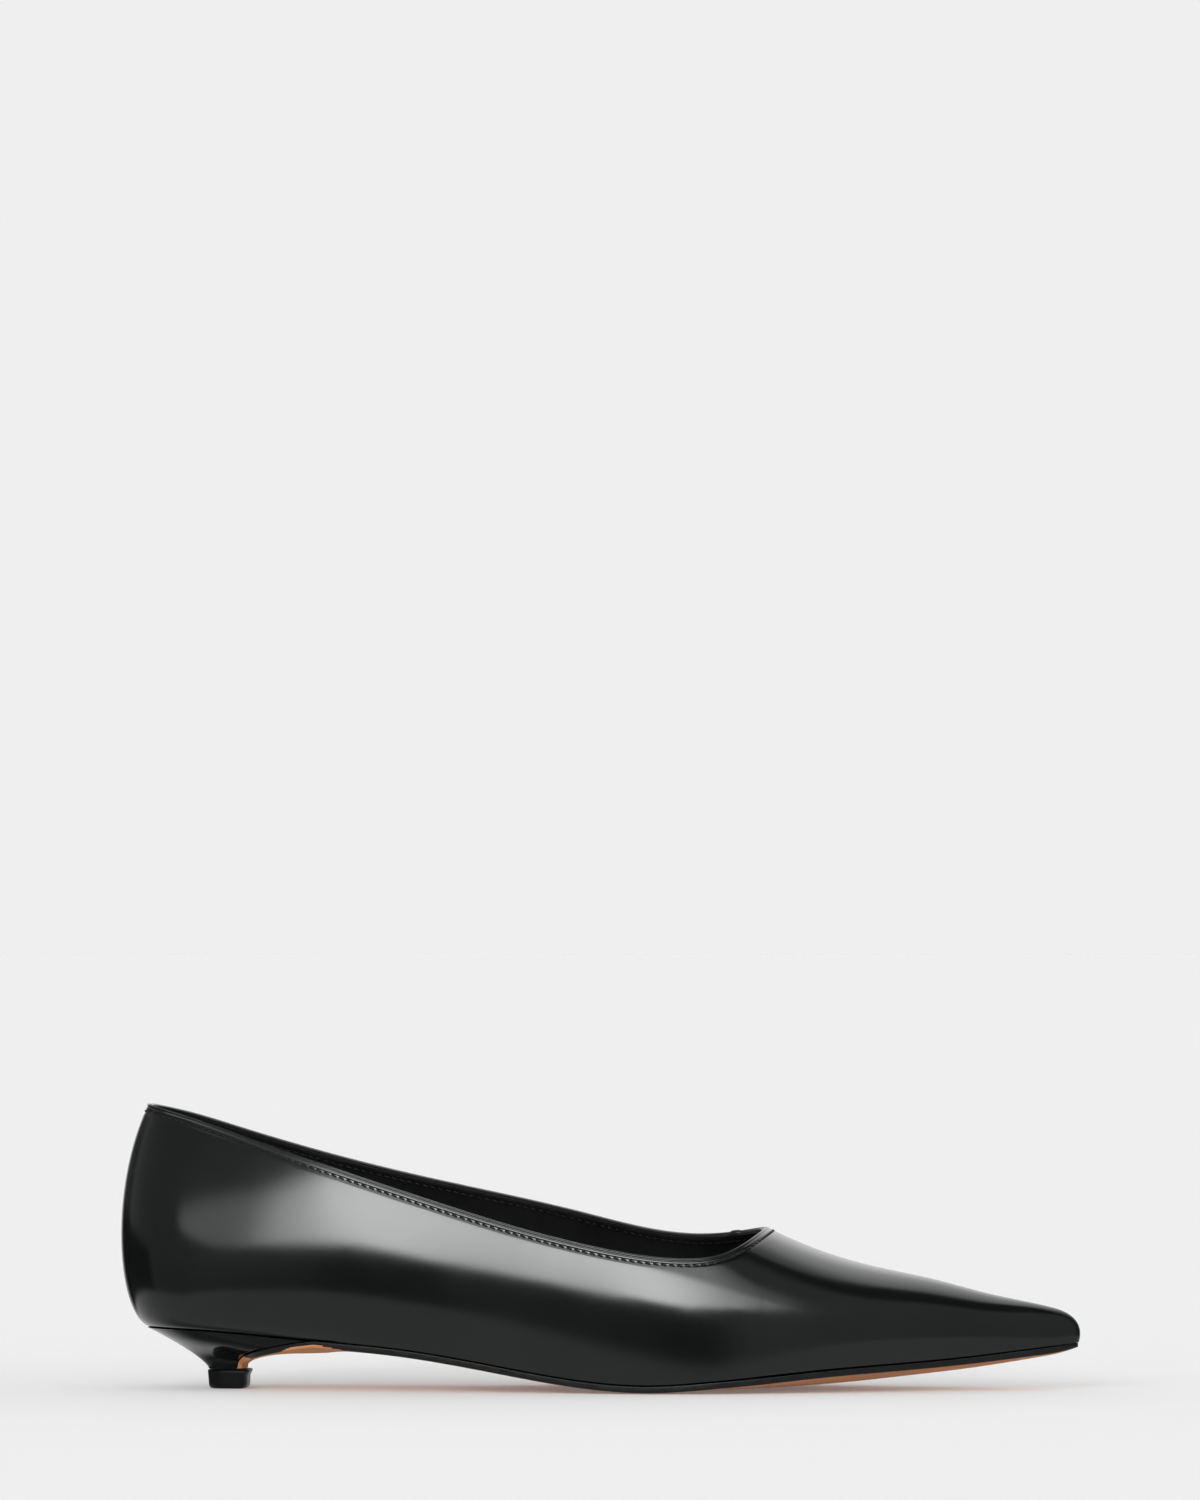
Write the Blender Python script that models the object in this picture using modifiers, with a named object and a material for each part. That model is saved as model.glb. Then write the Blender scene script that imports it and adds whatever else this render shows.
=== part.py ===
"""Pointed-toe pump with a low kitten heel, right foot, standing on the floor.

The pieces are the upper (one thin hollow shell), the leather outsole whose
rear end runs down the front of the heel, the covered heel block, its top
piece, and the insole.  Every curved face comes from the same last: a table of
cross-sections from the back of the heel to the toe.

Frame: metres, +X towards the toe, +Y towards the inner side of the foot,
+Z up, the floor at z = 0.  The tables are in millimetres, with x counted from
the rearmost point of the heel curve.
"""

import math
from collections import namedtuple

import bmesh
import bpy
import numpy as np

MM = 0.001

# ---------------------------------------------------------------- main sizes
FEATHER_BACK = 7.9        # x where the upper meets the heel seat, at the back
FEATHER_TIP = 265.8       # x where the upper meets the sole, at the toe
THROAT_X = 179.5          # x of the front end of the topline
UPPER_WALL = 1.8          # leather and lining together
SOLE_THICKNESS = 1.8      # leather outsole
SOLE_OVERHANG = 0.4       # outsole edge outside the feather line
SOLE_TIP_SETBACK = 0.2    # outsole's toe end behind the feather line's
SOLE_TIP_THICKNESS = 0.9  # outsole edge thinned at the toe
SOLE_TIP_THIN_FROM = 257.0
SOLE_EDGE_ROUND = 1.1     # width of the rounded lower corner of the outsole
INSOLE_THICKNESS = 2.0
INSOLE_INSET = 2.4        # insole edge inside the feather line
FIT_GAP = 0.3             # space between pieces that meet
HEEL_FRONT_X = 54.0       # tip of the heel's side wing
STEM_Z = 5.5              # bottom of the heel block
TOP_PIECE_HEIGHT = 5.2
BREAST_BELLY_AT_STEM = 0.9  # how far the heel's front face bows at its foot
FLAP_END_THICKNESS = 1.3  # outsole flap where it ends above the top piece

# Section planes stand square to the foot, and fan out round heel and toe.
HEEL_FAN_X, HEEL_FAN_SOFT = 36.0, 10.0
TOE_FAN_X, TOE_FAN_SOFT = 259.5, 4.0

# Mesh density
REAR_STATIONS, THROAT_STATIONS, FRONT_STATIONS, WALL_STEPS = 20, 12, 14, 12
THROAT_ZONE = 30.0        # length behind the throat with closer stations

# ------------------------------------------------------------------- the last
# lateral, medial: half-widths of the feather line; feather: its height;
# ridge: height of the crest (behind the throat, of the last inside);
# ridge_y: the crest's shift to the inner side; kick_*: how far a wall is
# pushed outwards above the feather; rise, crown: fullness low and high.
Section = namedtuple(
    "Section",
    "x lateral medial feather ridge ridge_y kick_lateral kick_medial rise crown",
)
SECTIONS = [
    Section(7.9, 0.0, 0.0, 17.2, 98.0, 0.0, 13.5, 13.5, 0.09, 1.36),
    Section(20.0, 19.3, 19.3, 17.0, 98.0, 0.0, 14.0, 14.0, 0.05, 0.97),
    Section(36.0, 22.7, 22.8, 15.9, 97.5, 0.0, 13.3, 13.3, 0.08, 0.85),
    Section(56.0, 24.9, 24.2, 14.1, 94.5, 0.0, 11.8, 11.8, 0.17, 0.86),
    Section(80.0, 27.5, 22.8, 11.8, 88.0, 0.6, 9.7, 11.5, 0.30, 0.77),
    Section(105.0, 30.0, 22.6, 7.7, 79.0, 1.4, 8.4, 10.8, 0.44, 0.73),
    Section(130.0, 33.0, 26.9, 3.5, 69.0, 2.0, 6.2, 7.9, 0.56, 0.75),
    Section(150.0, 35.1, 32.3, 2.3, 60.0, 2.4, 4.3, 5.3, 0.64, 0.77),
    Section(165.0, 35.3, 34.7, 3.3, 52.2, 2.4, 3.1, 3.6, 0.70, 0.77),
    Section(179.5, 32.7, 34.2, 4.6, 44.6, 2.2, 3.6, 3.8, 0.72, 0.73),
    Section(194.0, 28.4, 30.5, 6.1, 38.3, 1.9, 5.0, 5.1, 0.72, 0.69),
    Section(210.0, 22.4, 24.4, 7.4, 33.7, 1.5, 6.4, 6.5, 0.68, 0.68),
    Section(226.0, 16.0, 17.3, 8.6, 30.3, 1.0, 5.8, 5.9, 0.65, 0.69),
    Section(242.0, 10.5, 11.0, 10.2, 26.2, 0.5, 4.0, 4.1, 0.65, 0.69),
    Section(255.0, 6.2, 6.3, 11.75, 23.5, 0.1, 1.6, 1.7, 0.68, 0.66),
    Section(265.8, 0.0, 0.0, 13.0, 20.7, 0.0, 1.8, 1.8, 0.63, 0.58),
]

# Height of the topline on the outer and inner side of the foot.
Topline = namedtuple("Topline", "x lateral medial")
TOPLINE = [
    Topline(9.0, 78.6, 78.6),
    Topline(20.0, 75.7, 75.7),
    Topline(33.0, 71.4, 71.6),
    Topline(58.0, 62.7, 64.2),
    Topline(83.0, 54.5, 58.1),
    Topline(108.0, 46.7, 52.7),
    Topline(127.0, 41.7, 48.2),
    Topline(146.0, 38.0, 43.5),
    Topline(159.0, 37.0, 42.0),
    Topline(171.0, 39.2, 42.9),
    Topline(179.5, 44.6, 44.6),
]

# How far the middle of the sole hangs below its edges.
Belly = namedtuple("Belly", "x sole insole")
BELLY = [
    Belly(54.0, 2.45, 0.0),
    Belly(58.0, 2.05, 0.2),
    Belly(62.0, 1.25, 0.4),
    Belly(66.0, 0.85, 0.5),
    Belly(78.0, 0.6, 0.6),
    Belly(105.0, 0.8, 0.8),
    Belly(130.0, 0.6, 0.6),
    Belly(150.0, 0.6, 0.6),
    Belly(165.0, 1.2, 1.2),
    Belly(184.0, 2.3, 2.3),
    Belly(202.0, 2.7, 2.7),
    Belly(216.0, 2.2, 2.2),
    Belly(230.0, 1.7, 1.7),
    Belly(244.0, 1.2, 1.2),
    Belly(258.0, 0.5, 0.5),
    Belly(266.2, 0.0, 0.0),
]

# The heel's foot in plan: a D with its flat side to the front.
STEM_BACK_X, STEM_FRONT_X = 25.1, 33.3
STEM_HALF_WIDTH = 7.6
STEM_SQUARENESS = 3.2      # superellipse power of the D's round side
# How the wall closes in from seat to stem: 1 is straight, more is hollower.
HOLLOW_FRONT, HOLLOW_SIDE, HOLLOW_BACK = 2.8, 1.7, 1.3
# The sides close in at their own pace from seat to stem: a rim that stays wide,
# a quick sweep below it, then an upright stem.
Sweep = namedtuple("Sweep", "level pace")
SWEEP = [
    Sweep(0.0, 0.45),
    Sweep(0.2, 0.8),
    Sweep(0.3, 1.4),
    Sweep(0.45, 2.1),
    Sweep(0.6, 1.9),
    Sweep(0.72, 0.9),
    Sweep(0.8, 0.15),
    Sweep(0.86, 0.0),
    Sweep(1.0, 0.0),
]


def spline(xs, ys):
    """Natural cubic spline through the points, held flat past its ends."""
    xs, ys = np.array(xs, float), np.array(ys, float)
    n, h = len(xs), np.diff(xs)
    a, r = np.eye(n), np.zeros(n)
    for i in range(1, n - 1):
        a[i, i - 1 : i + 2] = h[i - 1], 2 * (h[i - 1] + h[i]), h[i]
        r[i] = 6 * ((ys[i + 1] - ys[i]) / h[i] - (ys[i] - ys[i - 1]) / h[i - 1])
    m = np.linalg.solve(a, r)

    def at(x):
        x = min(max(float(x), xs[0]), xs[-1])
        i = min(max(int(np.searchsorted(xs, x)) - 1, 0), n - 2)
        p, q, k = xs[i + 1] - x, x - xs[i], h[i]
        return float(
            (m[i] * p**3 + m[i + 1] * q**3) / (6 * k)
            + (ys[i] / k - m[i] * k / 6) * p
            + (ys[i + 1] / k - m[i + 1] * k / 6) * q
        )

    return at


def along(x):
    """Share of the feather line's length, spread so that both ends close round."""
    t = (x - FEATHER_BACK) / (FEATHER_TIP - FEATHER_BACK)
    return math.acos(1 - 2 * min(max(t, 0.0), 1.0)) / math.pi


def column(rows, name, key=lambda x: x):
    return spline([key(r.x) for r in rows], [getattr(r, name) for r in rows])


half_lateral = column(SECTIONS, "lateral", along)
half_medial = column(SECTIONS, "medial", along)
feather_z = column(SECTIONS, "feather")
ridge_z = column(SECTIONS, "ridge")
ridge_y = column(SECTIONS, "ridge_y")
kick_lateral = column(SECTIONS, "kick_lateral")
kick_medial = column(SECTIONS, "kick_medial")
rise_at = column(SECTIONS, "rise")
crown_at = column(SECTIONS, "crown")
topline_lateral = column(TOPLINE, "lateral")
topline_medial = column(TOPLINE, "medial")
belly_sole = column(BELLY, "sole")
belly_insole = column(BELLY, "insole")

LATERAL, MEDIAL = -1, 1


def feather_point(side, x):
    half = half_lateral(along(x)) if side == LATERAL else half_medial(along(x))
    return np.array([x, side * half, feather_z(x)])


def soft_ramp(x, soft):
    return soft * math.log1p(math.exp(x / soft))


def spine_x(x):
    """x where the section plane through the feather station x meets the crest."""
    c = HEEL_FAN_X + soft_ramp(x - HEEL_FAN_X, HEEL_FAN_SOFT)
    return TOE_FAN_X - soft_ramp(TOE_FAN_X - c, TOE_FAN_SOFT)


def upper_point(side, x, v):
    """Outer face of the upper: v runs from 0 at the feather to 1 at the crest."""
    foot = feather_point(side, x)
    c = spine_x(x)
    top = np.array([c, ridge_y(c), ridge_z(c)])
    reach = math.hypot(top[0] - foot[0], top[1] - foot[1])
    inward = (top[:2] - foot[:2]) / reach
    height = top[2] - foot[2]
    slope = (ridge_z(c + 0.5) - ridge_z(c - 0.5)) * inward[0]
    kick = kick_lateral(x) if side == LATERAL else kick_medial(x)
    crown = crown_at(x)
    q = (0.0, -kick, reach * (1 - crown), reach)
    z = (0.0, rise_at(x) * height, height - slope * reach * crown, height)
    w = ((1 - v) ** 3, 3 * (1 - v) ** 2 * v, 3 * (1 - v) * v**2, v**3)
    across = sum(a * b for a, b in zip(w, q))
    up = sum(a * b for a, b in zip(w, z))
    return np.array([foot[0] + inward[0] * across, foot[1] + inward[1] * across, foot[2] + up])


def topline_v(side, x):
    """Share of the wall below the topline in the section through station x."""
    if x >= THROAT_X - 1e-9:
        return 1.0
    edge = topline_lateral if side == LATERAL else topline_medial
    low, high = 0.05, 1.0
    for _ in range(50):
        v = (low + high) / 2
        p = upper_point(side, x, v)
        if p[2] < edge(p[0]):
            low = v
        else:
            high = v
    return (low + high) / 2


def eased(start, end, count):
    """Stations that crowd towards both ends."""
    return [start + (end - start) * (1 - math.cos(math.pi * i / count)) / 2 for i in range(count + 1)]


# ------------------------------------------------------------ mesh construction
def new_object(name, mesh_maker, collection, material):
    bm = bmesh.new()
    mesh_maker(bm)
    mesh = bpy.data.meshes.new(name)
    bm.to_mesh(mesh)
    bm.free()
    obj = bpy.data.objects.new(name, mesh)
    collection.objects.link(obj)
    mesh.materials.append(material)
    return obj


def add_rings(bm, rings, cap_first, cap_last):
    """Skins closed rings of equal count, and closes the two ends."""
    rows = [[bm.verts.new(p * MM) for p in ring] for ring in rings]
    count = len(rows[0])
    for a, b in zip(rows, rows[1:]):
        for i in range(count):
            j = (i + 1) % count
            bm.faces.new((a[i], a[j], b[j], b[i]))
    for row, wanted in ((rows[0], cap_first), (rows[-1], cap_last)):
        if wanted:
            bm.faces.new(row)
    bmesh.ops.recalc_face_normals(bm, faces=bm.faces)
    if bm.calc_volume(signed=True) < 0:
        bmesh.ops.reverse_faces(bm, faces=bm.faces)


def make_upper(bm):
    """The outer face as an open sheet: a closed walk round the feather line,
    each step a wall up to the topline or, in front of the throat, to the crest."""
    quarter = math.pi / 2
    zone = THROAT_X - THROAT_ZONE
    stations = [FEATHER_BACK + (zone - FEATHER_BACK) * (1 - math.cos(quarter * i / REAR_STATIONS)) for i in range(REAR_STATIONS)]
    stations += [THROAT_X - THROAT_ZONE * (1 - i / THROAT_STATIONS) ** 2 for i in range(THROAT_STATIONS)]
    stations += [THROAT_X + (FEATHER_TIP - THROAT_X) * math.sin(quarter * (i / FRONT_STATIONS) ** 1.35) for i in range(FRONT_STATIONS + 1)]
    walk = [(LATERAL, x) for x in stations] + [(MEDIAL, x) for x in stations[-2:0:-1]]
    rows = []
    for side, x in walk:
        top = topline_v(side, x)
        rows.append([bm.verts.new(upper_point(side, x, top * j / WALL_STEPS) * MM) for j in range(WALL_STEPS + 1)])
    for a, b in zip(rows, rows[1:] + rows[:1]):
        for j in range(WALL_STEPS):
            bm.faces.new((a[j], b[j], b[j + 1], a[j + 1]))
    bmesh.ops.remove_doubles(bm, verts=bm.verts, dist=1e-6)


# The heel's wall runs from seat to stem in levels, 0 to 1.
def seat_outline(u):
    """u from 0 at the outer wing tip, round the back, to 1 at the inner one."""
    side = LATERAL if u < 0.5 else MEDIAL
    t = abs(2 * u - 1)
    a = along(HEEL_FRONT_X) * t
    x = FEATHER_BACK + (FEATHER_TIP - FEATHER_BACK) * (1 - math.cos(math.pi * a)) / 2
    p = feather_point(side, x)
    return np.array([p[0], p[1], p[2] - FIT_GAP])


def stem_outline(u):
    """The D at the heel's foot, from its outer front corner round to the inner one."""
    angle = math.pi * u
    power = 2 / STEM_SQUARENESS
    c, s = math.cos(angle), math.sin(angle)
    y = -STEM_HALF_WIDTH * math.copysign(abs(c) ** power, c)
    x = STEM_FRONT_X - (STEM_FRONT_X - STEM_BACK_X) * abs(s) ** power
    return np.array([x, y, STEM_Z])


def swept_to(level):
    """Area under the pace, from the seat to a level."""
    total = 0.0
    for a, b in zip(SWEEP, SWEEP[1:]):
        end = min(b.level, level)
        if end > a.level:
            pace = a.pace + (b.pace - a.pace) * (end - a.level) / (b.level - a.level)
            total += (a.pace + pace) / 2 * (end - a.level)
    return total


def heel_wall(u, level):
    side_share = math.sin(math.pi * u) ** 2
    front_to_side = min(1.0, 4 * min(u, 1 - u))
    hollow = HOLLOW_FRONT + (HOLLOW_SIDE - HOLLOW_FRONT) * front_to_side
    hollow += (HOLLOW_BACK - HOLLOW_SIDE) * side_share**3
    a, b = seat_outline(u), stem_outline(u)
    share = np.array([1 - (1 - level) ** hollow, swept_to(level) / swept_to(1.0), level])
    return a + (b - a) * share


def breast_point(level, across, out):
    """Front face of the heel, and the outsole flap laid on it: across runs from
    -1 to 1 between its edges, out is the distance in front of the heel."""
    l, r = heel_wall(0.0, level), heel_wall(1.0, level)
    step = 0.01
    l0, l1 = heel_wall(0.0, max(level - step, 0.0)), heel_wall(0.0, min(level + step, 1.0))
    t = np.array([l1[0] - l0[0], l1[2] - l0[2]])
    t /= np.linalg.norm(t)
    ahead = np.array([-t[1], 0.0, t[0]])   # square to the face, to the front and down
    belly = belly_sole(HEEL_FRONT_X) * (1 - level) ** 5 + BREAST_BELLY_AT_STEM * level
    p = l + (r - l) * (across + 1) / 2
    return p + ahead * (belly * (1 - across**2) + out)


HEEL_LEVELS, HEEL_AROUND, HEEL_ACROSS = 18, 28, 8


def make_heel(bm):
    rings = []
    for k in range(HEEL_LEVELS + 1):
        level = k / HEEL_LEVELS
        ring = [heel_wall(i / HEEL_AROUND, level) for i in range(HEEL_AROUND + 1)]
        front = [breast_point(level, 1 - 2 * j / HEEL_ACROSS, 0.0) for j in range(1, HEEL_ACROSS)]
        if k == HEEL_LEVELS:
            for p in front:
                p[2] = STEM_Z
        rings.append(ring + front)
    add_rings(bm, rings, True, True)


def sole_thickness(x):
    t = min(max((x - SOLE_TIP_THIN_FROM) / (FEATHER_TIP - SOLE_TIP_THIN_FROM), 0.0), 1.0)
    return SOLE_THICKNESS + (SOLE_TIP_THICKNESS - SOLE_THICKNESS) * t * t


SOLE_STATIONS, FLAP_STATIONS, SOLE_ACROSS = 30, 12, 10


def sole_ring(upper_face, lower_face):
    """One closed section: the top from edge to edge, then the underside back,
    with the lower corners taken off."""
    top = [upper_face(2 * j / SOLE_ACROSS - 1) for j in range(SOLE_ACROSS + 1)]
    low = [lower_face(1 - 2 * j / SOLE_ACROSS) for j in range(SOLE_ACROSS + 1)]

    def corner(edge_top, edge_low, inner):
        wall = edge_top + (edge_low - edge_top) * 0.62
        width = np.linalg.norm(inner - edge_low)
        return wall, edge_low + (inner - edge_low) * min(0.5, SOLE_EDGE_ROUND / max(width, 1e-6))

    wall_m, low_m = corner(top[-1], low[0], low[1])
    wall_l, low_l = corner(top[0], low[-1], low[-2])
    return top + [wall_m, low_m] + low[1:-1] + [low_l, wall_l]


def make_outsole(bm):
    rings = []
    for i in range(SOLE_STATIONS + 1):
        t = i / SOLE_STATIONS
        x = FEATHER_TIP - (FEATHER_TIP - HEEL_FRONT_X - 2.0) * (1 - math.cos(math.pi * t / 2))
        at_x = x - SOLE_TIP_SETBACK * (1 - t) ** 4
        y_l = feather_point(LATERAL, x)[1] - SOLE_OVERHANG
        y_m = feather_point(MEDIAL, x)[1] + SOLE_OVERHANG
        edge, belly = feather_z(x) - FIT_GAP, belly_sole(x)

        def face(drop, on_floor):
            def at(across):
                y = y_l + (y_m - y_l) * (across + 1) / 2
                z = edge - belly * (1 - across**2) - drop
                return np.array([at_x, y, max(z, 0.0) if on_floor else z])

            return at

        rings.append(sole_ring(face(0.0, False), face(sole_thickness(x), True)))
    for k in range(1, FLAP_STATIONS + 1):
        level = 0.03 + 0.955 * k / FLAP_STATIONS
        thick = SOLE_THICKNESS + (FLAP_END_THICKNESS - SOLE_THICKNESS) * level

        def face(out):
            def at(across):
                p = breast_point(level, across, out)
                p[2] = max(p[2], STEM_Z)
                return p

            return at

        rings.append(sole_ring(face(FIT_GAP), face(FIT_GAP + thick)))
    add_rings(bm, rings, True, True)


def make_insole(bm):
    stations = eased(FEATHER_BACK, FEATHER_TIP, 30)[1:-1]
    rings = []
    for x in stations:
        l, m = feather_point(LATERAL, x), feather_point(MEDIAL, x)
        inset_x = x + INSOLE_INSET * math.cos(math.pi * along(x))
        y_l, y_m = min(l[1] + INSOLE_INSET, -0.4), max(m[1] - INSOLE_INSET, 0.4)
        low, top = [], []
        for j in range(9):
            across = 2 * j / 8 - 1
            y = y_l + (y_m - y_l) * (across + 1) / 2
            z = feather_z(x) - belly_insole(x) * (1 - across**2)
            low.append(np.array([inset_x, y, z]))
            top.append(np.array([inset_x, y, z + INSOLE_THICKNESS]))
        rings.append(top + low[::-1])
    add_rings(bm, rings, True, True)


def make_top_piece(bm):
    """The heel's foot: a D under stem and flap, narrowing a little downwards,
    with a lip in front of the flap and its lower edge rounded."""
    Level = namedtuple("Level", "z grow lip")
    levels = [
        Level(TOP_PIECE_HEIGHT, 0.1, 0.9),
        Level(TOP_PIECE_HEIGHT - 0.5, 0.25, 1.1),
        Level(TOP_PIECE_HEIGHT - 1.7, 0.15, 0.45),
        Level(1.1, -0.05, 0.35),
        Level(0.35, -0.3, 0.1),
        Level(0.0, -0.8, -0.4),
    ]
    flap = FIT_GAP + FLAP_END_THICKNESS + BREAST_BELLY_AT_STEM
    rings = []
    for row in levels:
        ring = []
        for i in range(25):
            p = stem_outline(i / 24)
            q = np.array([p[0] - STEM_FRONT_X, p[1]])
            n = np.linalg.norm(q)
            q *= (n + row.grow) / n
            ring.append(np.array([STEM_FRONT_X + q[0], q[1], row.z]))
        half = STEM_HALF_WIDTH + row.grow
        front = STEM_FRONT_X + flap + row.lip
        for j in range(9):
            a = 1 - 2 * j / 8
            ring.append(np.array([front - 1.3 * a**6, half * a, row.z]))
        rings.append(ring)
    add_rings(bm, rings, True, True)


def material(name, colour, roughness):
    made = bpy.data.materials.new(name)
    made.use_nodes = True
    shader = made.node_tree.nodes["Principled BSDF"]
    shader.inputs["Base Color"].default_value = (*colour, 1.0)
    shader.inputs["Roughness"].default_value = roughness
    shader.inputs["Metallic"].default_value = 0.0
    return made


def main():
    for obj in list(bpy.data.objects):
        bpy.data.objects.remove(obj, do_unlink=True)
    shoe = bpy.data.collections.new("pointed_toe_pump")
    bpy.context.scene.collection.children.link(shoe)

    black = material("polished_black_leather", (0.012, 0.013, 0.013), 0.16)
    cover = material("heel_cover_leather", (0.012, 0.013, 0.013), 0.2)
    tan = material("tan_sole_leather", (0.42, 0.20, 0.09), 0.5)
    lining = material("black_lining_leather", (0.010, 0.010, 0.010), 0.55)
    rubber = material("black_top_piece", (0.012, 0.012, 0.012), 0.45)

    upper = new_object("upper", make_upper, shoe, black)
    wall = upper.modifiers.new("wall", "SOLIDIFY")
    wall.thickness = UPPER_WALL * MM
    wall.offset = -1.0
    wall.use_even_offset = True
    pieces = [
        upper,
        new_object("outsole", make_outsole, shoe, tan),
        new_object("insole", make_insole, shoe, lining),
        new_object("heel", make_heel, shoe, cover),
        new_object("heel_top_piece", make_top_piece, shoe, rubber),
    ]

    # The origin is on the floor, under the middle of the whole shoe.
    bpy.context.view_layer.update()
    graph = bpy.context.evaluated_depsgraph_get()
    corners = np.array([c for p in pieces for c in p.evaluated_get(graph).bound_box])
    middle = (corners.min(0) + corners.max(0)) / 2
    root = bpy.data.objects.new("shoe_origin", None)
    shoe.objects.link(root)
    root.location = (-middle[0], -middle[1], 0.0)
    for piece in pieces:
        piece.parent = root
        piece.data.shade_smooth()
        piece.data.set_sharp_from_angle(angle=math.radians(40))


main()
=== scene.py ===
"""Looks of the pointed-toe pump: polished black upper with a stitched, turned
topline, matte lining, covered kitten heel, black-edged tan leather sole."""

import math
from collections import namedtuple

import bpy
import numpy as np
from mathutils import Matrix, Vector
from mathutils.bvhtree import BVHTree


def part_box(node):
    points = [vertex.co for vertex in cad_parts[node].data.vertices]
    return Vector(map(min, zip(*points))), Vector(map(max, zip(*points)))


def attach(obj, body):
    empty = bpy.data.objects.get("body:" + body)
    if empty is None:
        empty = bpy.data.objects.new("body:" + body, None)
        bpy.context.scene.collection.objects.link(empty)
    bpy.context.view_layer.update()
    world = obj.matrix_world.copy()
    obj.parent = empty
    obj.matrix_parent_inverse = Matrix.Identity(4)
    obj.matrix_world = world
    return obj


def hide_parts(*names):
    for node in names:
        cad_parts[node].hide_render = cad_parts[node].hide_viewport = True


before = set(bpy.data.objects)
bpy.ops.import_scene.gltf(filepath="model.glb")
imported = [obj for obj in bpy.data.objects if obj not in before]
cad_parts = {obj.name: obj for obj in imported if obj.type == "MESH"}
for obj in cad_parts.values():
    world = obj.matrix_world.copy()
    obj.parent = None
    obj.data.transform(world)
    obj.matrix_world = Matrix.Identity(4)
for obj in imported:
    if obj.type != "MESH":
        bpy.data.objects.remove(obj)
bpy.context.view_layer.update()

MM = 0.001

# ------------------------------------------------------------------ main sizes
# Millimetres, x counted from the rearmost point of the heel curve, as in the
# part's own source.
FEATHER_BACK = 7.9
FEATHER_TIP = 265.8
THROAT_X = 179.5
UPPER_WALL = 1.8
OUTER_LAYER = 1.0         # leather; the rest of the wall is lining
SOLE_THICKNESS = 1.8
SOLE_OVERHANG = 0.4
SOLE_TIP_SETBACK = 0.2
SOLE_TIP_THICKNESS = 0.9
SOLE_TIP_THIN_FROM = 257.0
INSOLE_THICKNESS = 2.0
FIT_GAP = 0.3
HEEL_FRONT_X = 54.0
STEM_Z = 5.5
TOP_PIECE_HEIGHT = 5.2
BREAST_BELLY_AT_STEM = 0.9
FLAP_END_THICKNESS = 1.3
HEEL_FAN_X, HEEL_FAN_SOFT = 36.0, 10.0
TOE_FAN_X, TOE_FAN_SOFT = 259.5, 4.0
STEM_BACK_X, STEM_FRONT_X = 25.1, 33.3
STEM_HALF_WIDTH = 7.6
STEM_SQUARENESS = 3.2
HOLLOW_FRONT, HOLLOW_SIDE, HOLLOW_BACK = 2.8, 1.7, 1.3

STITCH_PITCH = 2.2
STITCH_LENGTH = 2.02
STITCH_ROW = 2.1          # distance of the seam from the topline
SEAM_DEPTH = 0.12         # how far the seam pulls the leather in
SEAM_WIDTH = 0.50

Section = namedtuple(
    "Section",
    "x lateral medial feather ridge ridge_y kick_lateral kick_medial rise crown",
)
SECTIONS = [
    Section(7.9, 0.0, 0.0, 17.2, 98.0, 0.0, 13.5, 13.5, 0.09, 1.36),
    Section(20.0, 19.3, 19.3, 17.0, 98.0, 0.0, 14.0, 14.0, 0.05, 0.97),
    Section(36.0, 22.7, 22.8, 15.9, 97.5, 0.0, 13.3, 13.3, 0.08, 0.85),
    Section(56.0, 24.9, 24.2, 14.1, 94.5, 0.0, 11.8, 11.8, 0.17, 0.86),
    Section(80.0, 27.5, 22.8, 11.8, 88.0, 0.6, 9.7, 11.5, 0.30, 0.77),
    Section(105.0, 30.0, 22.6, 7.7, 79.0, 1.4, 8.4, 10.8, 0.44, 0.73),
    Section(130.0, 33.0, 26.9, 3.5, 69.0, 2.0, 6.2, 7.9, 0.56, 0.75),
    Section(150.0, 35.1, 32.3, 2.3, 60.0, 2.4, 4.3, 5.3, 0.64, 0.77),
    Section(165.0, 35.3, 34.7, 3.3, 52.2, 2.4, 3.1, 3.6, 0.70, 0.77),
    Section(179.5, 32.7, 34.2, 4.6, 44.6, 2.2, 3.6, 3.8, 0.72, 0.73),
    Section(194.0, 28.4, 30.5, 6.1, 38.3, 1.9, 5.0, 5.1, 0.72, 0.69),
    Section(210.0, 22.4, 24.4, 7.4, 33.7, 1.5, 6.4, 6.5, 0.68, 0.68),
    Section(226.0, 16.0, 17.3, 8.6, 30.3, 1.0, 5.8, 5.9, 0.65, 0.69),
    Section(242.0, 10.5, 11.0, 10.2, 26.2, 0.5, 4.0, 4.1, 0.65, 0.69),
    Section(255.0, 6.2, 6.3, 11.75, 23.5, 0.1, 1.6, 1.7, 0.68, 0.66),
    Section(265.8, 0.0, 0.0, 13.0, 20.7, 0.0, 1.8, 1.8, 0.63, 0.58),
]
Topline = namedtuple("Topline", "x lateral medial")
TOPLINE = [
    Topline(9.0, 78.6, 78.6),
    Topline(20.0, 75.7, 75.7),
    Topline(33.0, 71.4, 71.6),
    Topline(58.0, 62.7, 64.2),
    Topline(83.0, 54.5, 58.1),
    Topline(108.0, 46.7, 52.7),
    Topline(127.0, 41.7, 48.2),
    Topline(146.0, 38.0, 43.5),
    Topline(159.0, 37.0, 42.0),
    Topline(171.0, 39.2, 42.9),
    Topline(179.5, 44.6, 44.6),
]
Belly = namedtuple("Belly", "x sole insole")
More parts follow.
